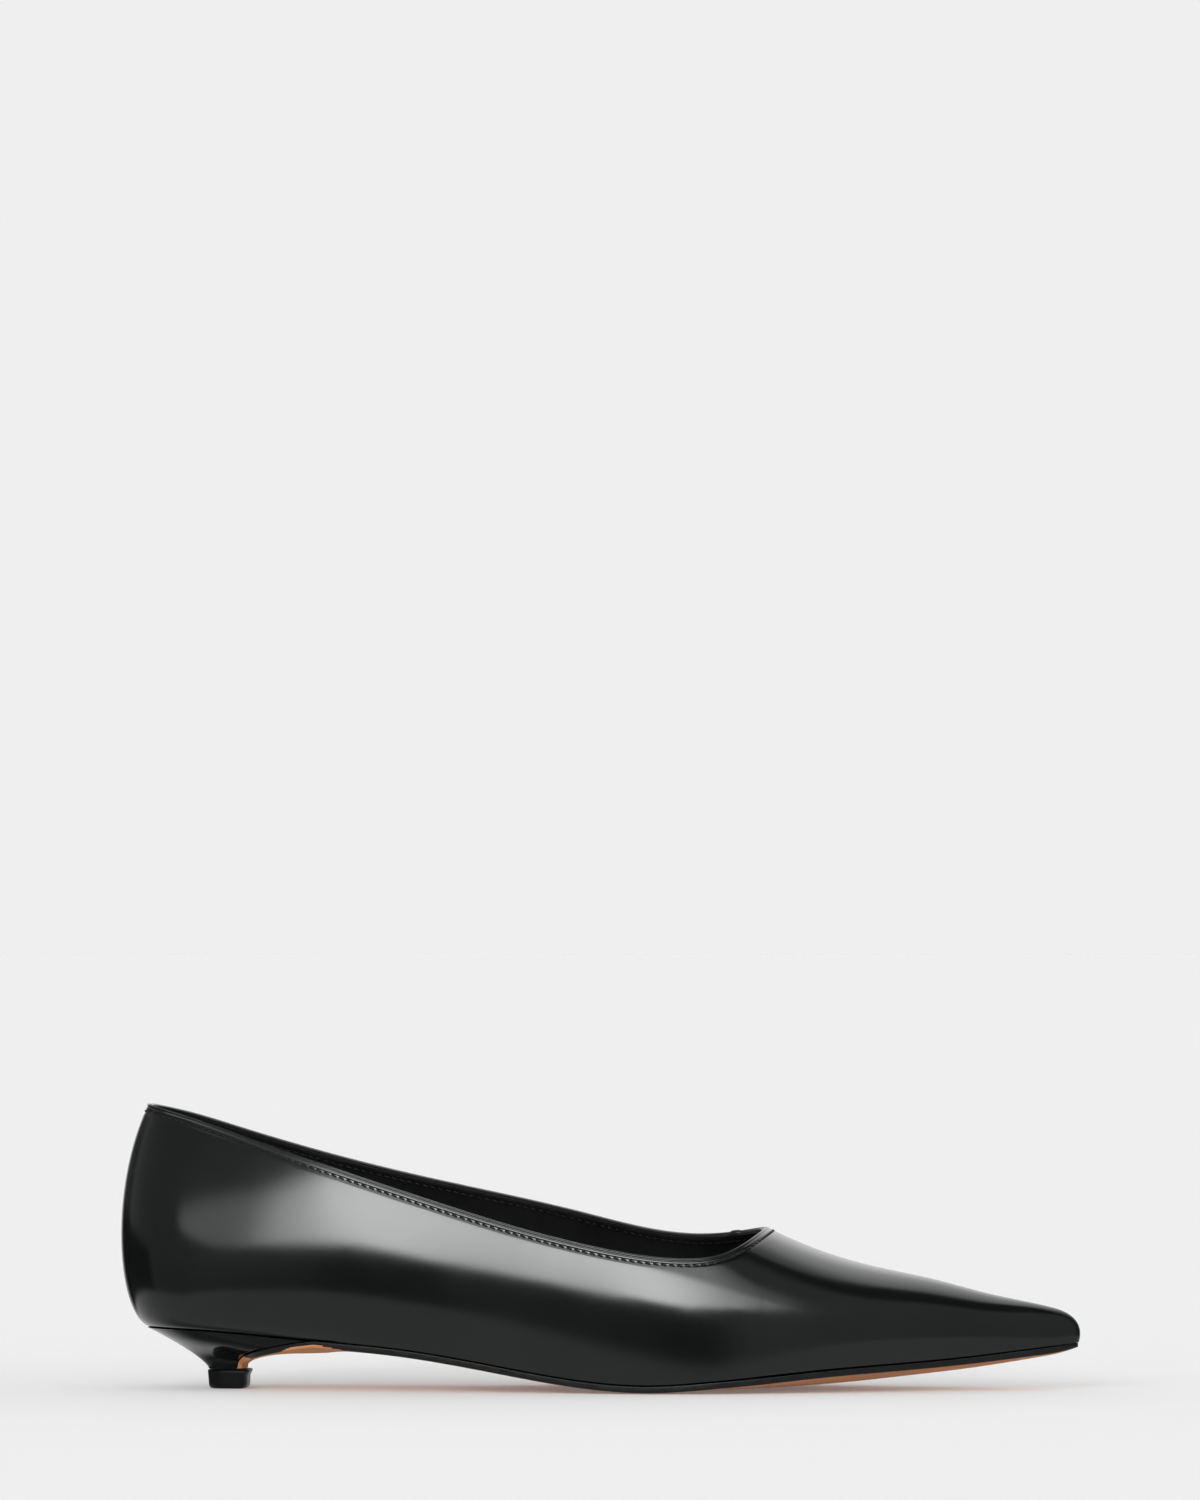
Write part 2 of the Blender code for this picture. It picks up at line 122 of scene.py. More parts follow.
BELLY = [
    Belly(54.0, 2.45, 0.0),
    Belly(58.0, 2.05, 0.2),
    Belly(62.0, 1.25, 0.4),
    Belly(66.0, 0.85, 0.5),
    Belly(78.0, 0.6, 0.6),
    Belly(105.0, 0.8, 0.8),
    Belly(130.0, 0.6, 0.6),
    Belly(150.0, 0.6, 0.6),
    Belly(165.0, 1.2, 1.2),
    Belly(184.0, 2.3, 2.3),
    Belly(202.0, 2.7, 2.7),
    Belly(216.0, 2.2, 2.2),
    Belly(230.0, 1.7, 1.7),
    Belly(244.0, 1.2, 1.2),
    Belly(258.0, 0.5, 0.5),
    Belly(266.2, 0.0, 0.0),
]

# The heel's sides close in at their own pace from seat to stem: a rim that stays wide,
# a quick sweep below it, then an upright stem.
Sweep = namedtuple("Sweep", "level pace")
SWEEP = [
    Sweep(0.0, 0.45),
    Sweep(0.2, 0.8),
    Sweep(0.3, 1.4),
    Sweep(0.45, 2.1),
    Sweep(0.6, 1.9),
    Sweep(0.72, 0.9),
    Sweep(0.8, 0.15),
    Sweep(0.86, 0.0),
    Sweep(1.0, 0.0),
]

LATERAL, MEDIAL = -1.0, 1.0
SPAN = FEATHER_TIP - FEATHER_BACK

# The shoe's place in the frame, read from two CAD nodes: the heel's rearmost
# point is the feather line's, and the top piece is symmetric about its middle.
_heel_low, _heel_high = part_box("heel")
_tip_low, _tip_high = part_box("heel_top_piece")
ORIGIN = np.array([_heel_low.x / MM - FEATHER_BACK, (_tip_low.y + _tip_high.y) / 2 / MM, 0.0])


# -------------------------------------------------------------------- the last
def spline(xs, ys):
    """Natural cubic spline through the points, held flat past its ends."""
    xs, ys = np.array(xs, float), np.array(ys, float)
    n, h = len(xs), np.diff(xs)
    a, r = np.eye(n), np.zeros(n)
    for i in range(1, n - 1):
        a[i, i - 1 : i + 2] = h[i - 1], 2 * (h[i - 1] + h[i]), h[i]
        r[i] = 6 * ((ys[i + 1] - ys[i]) / h[i] - (ys[i] - ys[i - 1]) / h[i - 1])
    m = np.linalg.solve(a, r)

    def at(x):
        x = np.clip(np.asarray(x, float), xs[0], xs[-1])
        i = np.clip(np.searchsorted(xs, x) - 1, 0, n - 2)
        p, q, k = xs[i + 1] - x, x - xs[i], h[i]
        return (
            (m[i] * p**3 + m[i + 1] * q**3) / (6 * k)
            + (ys[i] / k - m[i] * k / 6) * p
            + (ys[i + 1] / k - m[i + 1] * k / 6) * q
        )

    return at


def along(x):
    return np.arccos(1 - 2 * np.clip((x - FEATHER_BACK) / SPAN, 0.0, 1.0)) / np.pi


def from_along(a):
    return FEATHER_BACK + SPAN * (1 - np.cos(np.pi * a)) / 2


def column(rows, name, key=lambda x: x):
    return spline([float(key(r.x)) for r in rows], [getattr(r, name) for r in rows])


half_lateral = column(SECTIONS, "lateral", along)
half_medial = column(SECTIONS, "medial", along)
feather_z = column(SECTIONS, "feather")
ridge_z = column(SECTIONS, "ridge")
ridge_y = column(SECTIONS, "ridge_y")
kick_lateral = column(SECTIONS, "kick_lateral")
kick_medial = column(SECTIONS, "kick_medial")
rise_at = column(SECTIONS, "rise")
crown_at = column(SECTIONS, "crown")
topline_lateral = column(TOPLINE, "lateral")
topline_medial = column(TOPLINE, "medial")
belly_sole = column(BELLY, "sole")
belly_insole = column(BELLY, "insole")


def half_width(side, x):
    return np.where(side < 0, half_lateral(along(x)), half_medial(along(x)))


def feather_point(side, x):
    return np.array([float(x), side * float(half_width(side, x)), float(feather_z(x))])


def spine_x(x):
    c = HEEL_FAN_X + HEEL_FAN_SOFT * np.log1p(np.exp((x - HEEL_FAN_X) / HEEL_FAN_SOFT))
    return TOE_FAN_X - TOE_FAN_SOFT * np.log1p(np.exp((TOE_FAN_X - c) / TOE_FAN_SOFT))


def upper_points(side, x, v):
    """Outer face of the upper: v runs from 0 at the feather to 1 at the crest."""
    side, x, v = np.broadcast_arrays(*(np.asarray(k, float) for k in (side, x, v)))
    y0, c = side * half_width(side, x), spine_x(x)
    dx, dy = c - x, ridge_y(c) - y0
    reach = np.hypot(dx, dy)
    ix, iy = dx / reach, dy / reach
    height = ridge_z(c) - feather_z(x)
    slope = (ridge_z(c + 0.5) - ridge_z(c - 0.5)) * ix
    kick = np.where(side < 0, kick_lateral(x), kick_medial(x))
    crown = crown_at(x)
    w1, w2, w3 = 3 * (1 - v) ** 2 * v, 3 * (1 - v) * v**2, v**3
    across = -kick * w1 + reach * (1 - crown) * w2 + reach * w3
    up = rise_at(x) * height * w1 + (height - slope * reach * crown) * w2 + height * w3
    return np.stack([x + ix * across, y0 + iy * across, feather_z(x) + up], -1)


def round_points(g, v):
    """The same face by one turn round the feather line: g from 0 at the heel's
    back along the outer side to 1 at the toe and on to 2 at the back again."""
    g = np.mod(g, 2.0)
    side = np.where(g <= 1.0, LATERAL, MEDIAL)
    return upper_points(side, from_along(np.where(g <= 1.0, g, 2.0 - g)), v)


def unit(v):
    return v / np.maximum(np.linalg.norm(v, axis=-1, keepdims=True), 1e-12)


def round_normals(g, v):
    e = 2e-4
    du = round_points(g + e, v) - round_points(g - e, v)
    dv = round_points(g, np.minimum(v + e, 1.0)) - round_points(g, np.maximum(v - e, 0.0))
    return unit(np.cross(du, dv))


def topline_v(side, x):
    side, x = np.broadcast_arrays(np.asarray(side, float), np.asarray(x, float))
    low, high = np.full(x.shape, 0.05), np.ones(x.shape)
    for _ in range(46):
        v = (low + high) / 2
        p = upper_points(side, x, v)
        edge = np.where(side < 0, topline_lateral(p[..., 0]), topline_medial(p[..., 0]))
        below = p[..., 2] < edge
        low, high = np.where(below, v, low), np.where(below, high, v)
    return np.where(x >= THROAT_X - 1e-9, 1.0, (low + high) / 2)


def round_at(side, x):
    a = along(x)
    return np.where(side < 0, a, 2.0 - a)


# -------------------------------------------------------------------- building
def place(points):
    return (np.asarray(points, float) + ORIGIN) * MM


def new_piece(name, points, faces, materials, indices=None, smooth_angle=None):
    mesh = bpy.data.meshes.new(name)
    mesh.from_pydata([tuple(p) for p in place(points)], [], [tuple(int(i) for i in f) for f in faces])
    for m in materials:
        mesh.materials.append(m)
    if indices is not None:
        mesh.polygons.foreach_set("material_index", np.asarray(indices, np.int32))
    mesh.validate()
    mesh.shade_smooth()
    if smooth_angle:
        mesh.set_sharp_from_angle(angle=math.radians(smooth_angle))
    obj = bpy.data.objects.new(name, mesh)
    bpy.context.scene.collection.objects.link(obj)
    return obj


def face_out(faces, points):
    """Turns all faces of a closed mesh outwards, if they face in."""
    p = np.asarray(points, float)
    volume = 0.0
    for f in faces:
        for k in range(1, len(f) - 1):
            volume += float(np.dot(p[f[0]], np.cross(p[f[k]], p[f[k + 1]])))
    return [tuple(reversed(f)) for f in faces] if volume < 0 else faces


def loft(rings, caps=True):
    """Closed rings of equal count, skinned one to the next. Returns points,
    faces and, for each face, its place round the ring (-1 for an end)."""
    count = len(rings[0])
    points = np.concatenate(rings)
    faces, spots = [], []
    for k in range(len(rings) - 1):
        for i in range(count):
            j = (i + 1) % count
            faces.append((k * count + i, k * count + j, (k + 1) * count + j, (k + 1) * count + i))
            spots.append(i)
    if caps:
        faces.append(tuple(range(count))[::-1])
        faces.append(tuple((len(rings) - 1) * count + i for i in range(count)))
        spots += [-1, -1]
    return points, face_out(faces, points), spots


def ring_of_tubes(rows):
    """A closed band: each row is one closed cross-section, and the last row
    joins the first."""
    n, m = len(rows), len(rows[0])
    points = np.concatenate(rows)
    faces = []
    for k in range(n):
        q = (k + 1) % n
        for i in range(m):
            j = (i + 1) % m
            faces.append((k * m + i, k * m + j, q * m + j, q * m + i))
    return points, face_out(faces, points)


# ------------------------------------------------------------ upper and lining
def wall_stations(rear, throat, front):
    zone = THROAT_X - 30.0
    q = np.pi / 2
    a = FEATHER_BACK + (zone - FEATHER_BACK) * (1 - np.cos(q * np.arange(rear) / rear))
    b = THROAT_X - 30.0 * (1 - np.arange(throat) / throat) ** 1.6
    c = THROAT_X + (FEATHER_TIP - THROAT_X) * np.sin(q * (np.arange(front + 1) / front) ** 1.5)
    return np.concatenate([a, b, c])


def topline_loop(count):
    """Points of the topline at even steps, from the back along the outer side
    round the throat to the back again, with tangent, outward and downward
    directions."""
    a = np.concatenate([np.linspace(0, along(150.0), 500, endpoint=False),
                        along(THROAT_X - 29.5 * (1 - np.arange(401) / 400) ** 2)])
    g = np.concatenate([a, 2.0 - a[::-1][1:-1]])
    side = np.where(g <= 1.0, LATERAL, MEDIAL)
    x = from_along(np.where(g <= 1.0, g, 2.0 - g))
    v = topline_v(side, x)
    p, n = upper_points(side, x, v), round_normals(g, v)
    closed = np.concatenate([p, p[:1]])
    s = np.concatenate([[0.0], np.cumsum(np.linalg.norm(np.diff(closed, axis=0), axis=1))])
    want = np.arange(count) * s[-1] / count
    take = lambda k: np.stack([np.interp(want, s, np.concatenate([k, k[:1]])[:, i]) for i in range(3)], -1)
    p, n = take(p), take(n)

    def soften(k, rounds):
        for _ in range(rounds):
            k = (np.roll(k, 1, 0) + 2 * k + np.roll(k, -1, 0)) / 4
        return k

    p, n = soften(p, 6), unit(soften(n, 12))
    t = unit(np.roll(p, -1, 0) - np.roll(p, 1, 0))
    n = unit(n - t * np.sum(n * t, -1, keepdims=True))
    return p, t, n, np.cross(t, n), s[-1]


EDGE_P, EDGE_T, EDGE_N, EDGE_B, EDGE_LENGTH = topline_loop(960)


def near_edge(points, step=2):
    """Distance of each point from the topline."""
    e = EDGE_P[::step]
    out = np.empty(len(points))
    for k in range(0, len(points), 2000):
        d = points[k : k + 2000, None, :] - e[None]
        out[k : k + 2000] = np.sqrt((d * d).sum(-1).min(1))
    return out


def wall_grid(stations, low_rows, high_rows, high_share):
    """Columns round the feather line; each column's rows from feather to
    topline or crest. Returns points, normals, and which columns are in front."""
    side = np.concatenate([np.full(len(stations), LATERAL), np.full(len(stations) - 2, MEDIAL)])
    x = np.concatenate([stations, stations[-2:0:-1]])
    t = np.arange(low_rows) / low_rows
    r = np.concatenate([(1 - high_share) * (0.35 * t + 0.65 * t**1.0), 1 - high_share + high_share * np.arange(high_rows + 1) / high_rows])
    v = topline_v(side, x)[:, None] * r[None, :]
    g = np.broadcast_to(round_at(side, x)[:, None], v.shape)
    return round_points(g, v), round_normals(g, v), x, side


def wall_shell(stations, low_rows, high_rows, high_share, outside, inside, shape=None, tuck=0.0):
    """One layer of the wall as a closed shell between two depths."""
    p, n, x, side = wall_grid(stations, low_rows, high_rows, high_share)
    cols, rows = p.shape[:2]
    if shape is not None:
        p = p + n * shape(p.reshape(-1, 3)).reshape(cols, rows, 1)
    outer, inner = p - n * outside, p - n * inside
    if tuck:
        # The lower edge turns under, so that it shades the joint below it.
        low = outer[:, 0].copy()
        inward = unit((inner[:, 0] - low) * np.array([1, 1, 0]))
        first = low + (p[:, 1] - p[:, 0]) * 0.16
        outer[:, 0] = first + inward * tuck * 0.75 - [0, 0, 0.05]
        inner[:, 0] = low + inward * (inside - outside) - [0, 0, 0.1]
        outer = np.concatenate([outer[:, :1], first[:, None], outer[:, 1:]], 1)
        inner = np.concatenate([inner[:, :1], inner[:, :1] + (inner[:, 1:2] - inner[:, :1]) * 0.22, inner[:, 1:]], 1)
        rows += 1
    index = np.arange(cols * rows).reshape(cols, rows)
    half = len(stations)
    front = np.where(x >= THROAT_X - 1e-9)[0]
    for k in front:
        if k >= half:                      # inner side: same crest point as the outer side
            index[k, -1] = index[2 * half - 2 - k, -1]
    shift = cols * rows
    faces = []
    for k in range(cols):
        q = (k + 1) % cols
        both_front = x[k] >= THROAT_X - 1e-9 and x[q] >= THROAT_X - 1e-9
        a, b = index[k], index[q]
        for j in range(rows - 1):
            faces.append((a[j], b[j], b[j + 1], a[j + 1]))
            faces.append((a[j + 1] + shift, b[j + 1] + shift, b[j] + shift, a[j] + shift))
        faces.append((a[0] + shift, b[0] + shift, b[0], a[0]))
        if not both_front:
            faces.append((a[-1], b[-1], b[-1] + shift, a[-1] + shift))
    points = np.concatenate([outer.reshape(-1, 3), inner.reshape(-1, 3)])
    used = np.unique(np.concatenate([np.array(f) for f in faces]))
    renumber = np.full(len(points), -1)
    renumber[used] = np.arange(len(used))
    faces = [tuple(renumber[list(f)]) for f in faces]
    return points[used], face_out(faces, points[used]), outer, index


def seam_pull(points):
    d = near_edge(points)
    return -SEAM_DEPTH * np.exp(-(((d - STITCH_ROW) / SEAM_WIDTH) ** 2))


# ------------------------------------------------------------------- materials
class Tree:
    """Small helper for node trees: values and sockets go in alike."""

    def __init__(self, tree):
        self.tree = tree

    def put(self, socket, value):
        if isinstance(value, bpy.types.NodeSocket):
            self.tree.links.new(value, socket)
        else:
            socket.default_value = value

    def node(self, kind, **inputs):
        made = self.tree.nodes.new(kind)
        for name, value in inputs.items():
            self.put(made.inputs[name], value)
        return made

    def math(self, operation, a, b=0.0):
        made = self.tree.nodes.new("ShaderNodeMath")
        made.operation = operation
        self.put(made.inputs[0], a)
        self.put(made.inputs[1], b)
        return made.outputs[0]

    def ramp(self, value, low, high, to_low=0.0, to_high=1.0):
        made = self.tree.nodes.new("ShaderNodeMapRange")
        made.interpolation_type = "SMOOTHSTEP"
        for socket, v in zip(made.inputs[:5], (value, low, high, to_low, to_high)):
            self.put(socket, v)
        return made.outputs[0]

    def noise(self, where, scale, detail=2.0, rough=0.5):
        made = self.node("ShaderNodeTexNoise", Vector=where, Scale=scale, Detail=detail, Roughness=rough)
        return made.outputs["Fac"]

    def colours(self, fac, *stops):
        made = self.tree.nodes.new("ShaderNodeValToRGB")
        self.put(made.inputs[0], fac)
        ramp = made.color_ramp
        while len(ramp.elements) < len(stops):
            ramp.elements.new(0.5)
        for e, (at, c) in zip(ramp.elements, stops):
            e.position, e.color = at, (*c, 1.0)
        return made.outputs[0]

    def bump(self, height, distance, strength, normal=None):
        made = self.node("ShaderNodeBump", Height=height, Distance=distance, Strength=strength)
        if normal is not None:
            self.put(made.inputs["Normal"], normal)
        return made.outputs[0]


def new_material(name, ior=1.45):
    made = bpy.data.materials.new(name)
    made.use_nodes = True
    t = Tree(made.node_tree)
    shader = made.node_tree.nodes["Principled BSDF"]
    shader.inputs["IOR"].default_value = ior
    where = t.tree.nodes.new("ShaderNodeTexCoord").outputs["Object"]
    return made, t, shader, where


def polished_leather(name, grain=1.0, gloss=0.5):
    made, t, shader, where = new_material(name, 1.36)
    shader.inputs["Specular IOR Level"].default_value = gloss
    pores = t.noise(where, 2600.0, 2.0, 0.6)
    cloud = t.noise(where, 55.0, 3.0, 0.55)
    t.put(shader.inputs["Base Color"], t.colours(cloud, (0.3, (0.0040, 0.0047, 0.0044)), (0.7, (0.0054, 0.0062, 0.0058))))
    t.put(shader.inputs["Roughness"], t.ramp(t.math("ADD", t.math("MULTIPLY", cloud, 0.7), t.math("MULTIPLY", pores, 0.3)), 0.25, 0.75, 0.10, 0.135))
    shader.inputs["Specular Tint"].default_value = (0.98, 1.0, 0.99, 1.0)
    waves = t.bump(t.noise(where, 70.0, 2.0, 0.45), 0.0002, 0.12 * grain)
    t.put(shader.inputs["Normal"], t.bump(pores, 0.00002, 0.10 * grain, waves))
    return made


def lining_leather(name):
    made, t, shader, where = new_material(name, 1.4)
    cells = t.node("ShaderNodeTexVoronoi", Vector=where, Scale=1700.0)
    cloud = t.noise(where, 90.0, 3.0, 0.6)
    t.put(shader.inputs["Base Color"], t.colours(cloud, (0.3, (0.0034, 0.0036, 0.0036)), (0.7, (0.0056, 0.0058, 0.0058))))
    shader.inputs["Specular IOR Level"].default_value = 0.14
    t.put(shader.inputs["Roughness"], t.ramp(cloud, 0.3, 0.7, 0.52, 0.62))
    t.put(shader.inputs["Normal"], t.bump(cells.outputs["Distance"], 0.00006, 0.35))
    return made


def thread_material(name):
    made, t, shader, where = new_material(name, 1.45)
    twist = t.node("ShaderNodeTexWave", Vector=where, Scale=900.0, Distortion=1.0)
    t.put(shader.inputs["Base Color"], t.colours(twist.outputs["Fac"], (0.0, (0.0025, 0.0025, 0.0025)), (1.0, (0.0045, 0.0045, 0.0045))))
    shader.inputs["Specular IOR Level"].default_value = 0.2
    shader.inputs["Roughness"].default_value = 0.45
    t.put(shader.inputs["Normal"], t.bump(twist.outputs["Fac"], 0.00004, 0.4))
    return made


def edge_paint(name):
    made, t, shader, where = new_material(name, 1.4)
    cloud = t.noise(where, 300.0, 3.0, 0.6)
    t.put(shader.inputs["Base Color"], t.colours(cloud, (0.3, (0.0036, 0.0040, 0.0038)), (0.7, (0.0052, 0.0056, 0.0054))))
    shader.inputs["Specular IOR Level"].default_value = 0.26
    t.put(shader.inputs["Roughness"], t.ramp(cloud, 0.3, 0.7, 0.28, 0.4))
    t.put(shader.inputs["Normal"], t.bump(cloud, 0.0001, 0.15))
    return made


def tan_leather(name):
    made, t, shader, where = new_material(name, 1.42)
    fibres = t.node("ShaderNodeTexNoise", Vector=t.node("ShaderNodeMapping", Vector=where, Scale=(0.35, 1.0, 1.0)).outputs[0], Scale=900.0, Detail=4.0, Roughness=0.6)
    cloud = t.noise(where, 45.0, 3.0, 0.55)
    mix = t.math("ADD", t.math("MULTIPLY", cloud, 0.65), t.math("MULTIPLY", fibres.outputs["Fac"], 0.35))
    t.put(shader.inputs["Base Color"], t.colours(mix, (0.3, (0.36, 0.155, 0.062)), (0.5, (0.45, 0.20, 0.085)), (0.7, (0.53, 0.25, 0.115))))
    shader.inputs["Specular IOR Level"].default_value = 0.08
    t.put(shader.inputs["Roughness"], t.ramp(mix, 0.3, 0.7, 0.6, 0.75))
    t.put(shader.inputs["Normal"], t.bump(fibres.outputs["Fac"], 0.00005, 0.2))
    return made


def top_piece_material(name):
    made, t, shader, where = new_material(name, 1.42)
    cloud = t.noise(where, 420.0, 4.0, 0.65)
    t.put(shader.inputs["Base Color"], t.colours(cloud, (0.3, (0.0022, 0.0023, 0.0023)), (0.7, (0.0037, 0.0038, 0.0038))))
    shader.inputs["Specular IOR Level"].default_value = 0.12
    t.put(shader.inputs["Roughness"], t.ramp(cloud, 0.3, 0.7, 0.34, 0.48))
    t.put(shader.inputs["Normal"], t.bump(cloud, 0.00008, 0.25))
    return made


LEATHER = polished_leather("polished_black_leather")
# lower gloss than the upper: partly a duller leather, partly painted shade for the shadowed floor under the heel that
# it reflects
COVER = polished_leather("heel_cover_leather", 0.7, 0.15)
LINING = lining_leather("black_lining_leather")
THREAD = thread_material("black_thread")
PAINT = edge_paint("black_edge_paint")
TAN = tan_leather("tan_sole_leather")
RUBBER = top_piece_material("black_top_piece")


def finish_piece(obj, slot, *nodes):
    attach(obj, "root")
    if nodes:
        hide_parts(*nodes)
    return obj


# ------------------------------------------------------------------- the upper
def make_upper():
    points, faces, outer, index = wall_shell(
        wall_stations(112, 70, 90), 36, 12, 0.11, 0.0, OUTER_LAYER - 0.02, seam_pull, tuck=0.6)
    obj = new_piece("upper_leather", points, faces, [LEATHER], smooth_angle=50)
    finish_piece(obj, "upper_leather", "upper")
    points, faces, _, _ = wall_shell(
        wall_stations(70, 44, 50), 20, 6, 0.12, OUTER_LAYER, UPPER_WALL)
    finish_piece(new_piece("upper_lining", points, faces, [LINING], smooth_angle=50), "lining_leather")
    return outer


OUTER_FACE = make_upper()


def surface_tree():
    """The upper's outer face as a search tree, in millimetres."""
    cols, rows = OUTER_FACE.shape[:2]
    faces = []
    for k in range(cols):
        q = (k + 1) % cols
        for j in range(1, rows - 1):
            faces.append((k * rows + j, q * rows + j, q * rows + j + 1, k * rows + j + 1))
    return BVHTree.FromPolygons([tuple(p) for p in OUTER_FACE.reshape(-1, 3)], [tuple(int(i) for i in f) for f in faces])


SURFACE = surface_tree()


def on_surface(points):
    return np.array([SURFACE.find_nearest(Vector(p))[0] for p in points])


# The turned edge in cross-section: distance down from the topline, and height
# above the outer face (below -UPPER_WALL is inside the lining).
EdgePoint = namedtuple("EdgePoint", "down out")
EDGE_PROFILE = [
    EdgePoint(2.30, -0.45), EdgePoint(2.06, -0.22), EdgePoint(1.90, -0.04), EdgePoint(1.70, 0.06),
    EdgePoint(1.40, 0.10), EdgePoint(1.12, 0.08), EdgePoint(0.93, 0.02), EdgePoint(0.82, 0.00),
    EdgePoint(0.71, 0.06), EdgePoint(0.58, 0.15), EdgePoint(0.42, 0.19), EdgePoint(0.25, 0.14),
    EdgePoint(0.10, 0.00), EdgePoint(0.00, -0.20), EdgePoint(-0.06, -0.45), EdgePoint(-0.08, -0.75),
    EdgePoint(-0.06, -1.05), EdgePoint(0.00, -1.35), EdgePoint(0.12, -1.60), EdgePoint(0.32, -1.80),
    EdgePoint(0.60, -1.92), EdgePoint(1.00, -1.95), EdgePoint(1.50, -1.90), EdgePoint(1.85, -1.80),
    EdgePoint(2.05, -1.55), EdgePoint(2.25, -1.10),
]
EDGE_LINING_FROM = 16     # points from here on belong to the lining


# Where the edging's ends lap over: at the heel's back and near the throat on the inner side.
Lap = namedtuple("Lap", "x y width lift out")
LAPS = [Lap(9.0, 0.0, 1.1, 0.1, 0.3), Lap(170.0, 24.0, 1.5, 0.4, 0.2)]


def lap_at(points):
    """How far the edging is raised, along the wall and out from it."""
    lift, out = np.zeros(len(points)), np.zeros(len(points))
    for lap in LAPS:
        reach = np.where(abs(points[:, 1] - lap.y) < 14.0, abs(points[:, 0] - lap.x), 99.0)
        if lap.y == 0.0:
            reach = np.hypot(points[:, 0] - lap.x, points[:, 1])
        share = np.exp(-((reach / lap.width) ** 4))
        lift, out = lift + lap.lift * share, out + lap.out * share
    return lift[:, None], out[:, None]


def make_topline_edge():
    rings = []
    lift, out = lap_at(EDGE_P)
    for row in EDGE_PROFILE:
        base = EDGE_P + EDGE_B * row.down
        if row.down > 0.3:
            base = on_surface(base)
        near = max(0.0, 1 - abs(row.down) / 1.2)
        rings.append(base + EDGE_N * (row.out + near * (out if row.out > -0.6 else 0.0)) - EDGE_B * lift * near)
    rows = np.stack(rings, 1)
    points, faces = ring_of_tubes(list(rows))
    lining = [1 if EDGE_LINING_FROM <= i % len(EDGE_PROFILE) < len(EDGE_PROFILE) - 1 else 0 for i in range(len(faces))]
    finish_piece(new_piece("topline_edge", points, faces, [LEATHER, LINING], lining), "upper_leather")


make_topline_edge()


def stitches(name, height, sides, slant):
    """A row of thread stitches along the seam, each a short bowed bar whose
    ends go down into the leather."""
    line = on_surface(EDGE_P + EDGE_B * STITCH_ROW)
    closed = np.concatenate([line, line[:1]])
    s = np.concatenate([[0.0], np.cumsum(np.linalg.norm(np.diff(closed, axis=0), axis=1))])
    count = int(round(s[-1] / STITCH_PITCH))
    middle = (np.arange(count) + 0.5) * s[-1] / count
    take = lambda k: np.stack([np.interp(middle, s, np.concatenate([k, k[:1]])[:, i]) for i in range(3)], -1)
    p, n, t = take(line), unit(take(EDGE_N)), unit(take(EDGE_T))
    b = unit(np.cross(t, n))
    t, b = unit(t + b * slant), unit(b - t * slant)
    steps, around = 9, 8
    points, faces = [], []
    for k in range(count):
        start = len(points)
        for i in range(steps):
            f = 2 * i / (steps - 1) - 1
            bow = 0.13 - 0.42 * f**4
            thin = math.sqrt(max(1 - 0.8 * f**6, 0.05))
            for j in range(around):
                a = 2 * math.pi * j / around
                points.append(p[k] + t[k] * f * STITCH_LENGTH / 2 + b[k] * 0.27 * thin * math.cos(a)
                              + n[k] * (height + sides * bow + 0.17 * thin * math.sin(a)))
        for i in range(steps - 1):
            for j in range(around):
                q = (j + 1) % around
                r0, r1 = start + i * around, start + (i + 1) * around
                faces.append((r0 + j, r0 + q, r1 + q, r1 + j))
        faces.append(tuple(start + j for j in range(around))[::-1])
        faces.append(tuple(start + (steps - 1) * around + j for j in range(around)))
    points = np.array(points)
    return new_piece(name, points, face_out(faces, points), [THREAD])


finish_piece(stitches("topline_stitches", 0.0, 1.0, 0.20), "upper_leather")
finish_piece(stitches("lining_stitches", -UPPER_WALL + 0.06, -1.0, -0.20), "lining_leather")


# --------------------------------------------------------------- heel and sole
def seat_outline(u):
    side = LATERAL if u < 0.5 else MEDIAL
    a = float(along(HEEL_FRONT_X)) * abs(2 * u - 1)
    p = feather_point(side, from_along(a))
    return np.array([p[0], p[1], p[2] - FIT_GAP])


def stem_outline(u):
    angle, power = math.pi * u, 2 / STEM_SQUARENESS
    c, s = math.cos(angle), math.sin(angle)
    y = -STEM_HALF_WIDTH * math.copysign(abs(c) ** power, c)
    return np.array([STEM_FRONT_X - (STEM_FRONT_X - STEM_BACK_X) * abs(s) ** power, y, STEM_Z])


def swept_to(level):
    """Area under the pace, from the seat to a level."""
    total = 0.0
    for a, b in zip(SWEEP, SWEEP[1:]):
        end = min(b.level, level)
        if end > a.level:
            pace = a.pace + (b.pace - a.pace) * (end - a.level) / (b.level - a.level)
            total += (a.pace + pace) / 2 * (end - a.level)
    return total


def heel_wall(u, level):
    side_share = math.sin(math.pi * u) ** 2
    front_to_side = min(1.0, 4 * min(u, 1 - u))
    hollow = HOLLOW_FRONT + (HOLLOW_SIDE - HOLLOW_FRONT) * front_to_side
    hollow += (HOLLOW_BACK - HOLLOW_SIDE) * side_share**3
    a, b = seat_outline(u), stem_outline(u)
    share = np.array([1 - (1 - level) ** hollow, swept_to(level) / swept_to(1.0), level])
    return a + (b - a) * share


def breast_point(level, across, out):
    l, r = heel_wall(0.0, level), heel_wall(1.0, level)
    l0, l1 = heel_wall(0.0, max(level - 0.01, 0.0)), heel_wall(0.0, min(level + 0.01, 1.0))
    t = np.array([l1[0] - l0[0], l1[2] - l0[2]])
    t /= np.linalg.norm(t)
    ahead = np.array([-t[1], 0.0, t[0]])
    belly = float(belly_sole(HEEL_FRONT_X)) * (1 - level) ** 5 + BREAST_BELLY_AT_STEM * level
    return l + (r - l) * (across + 1) / 2 + ahead * (belly * (1 - across**2) + out)


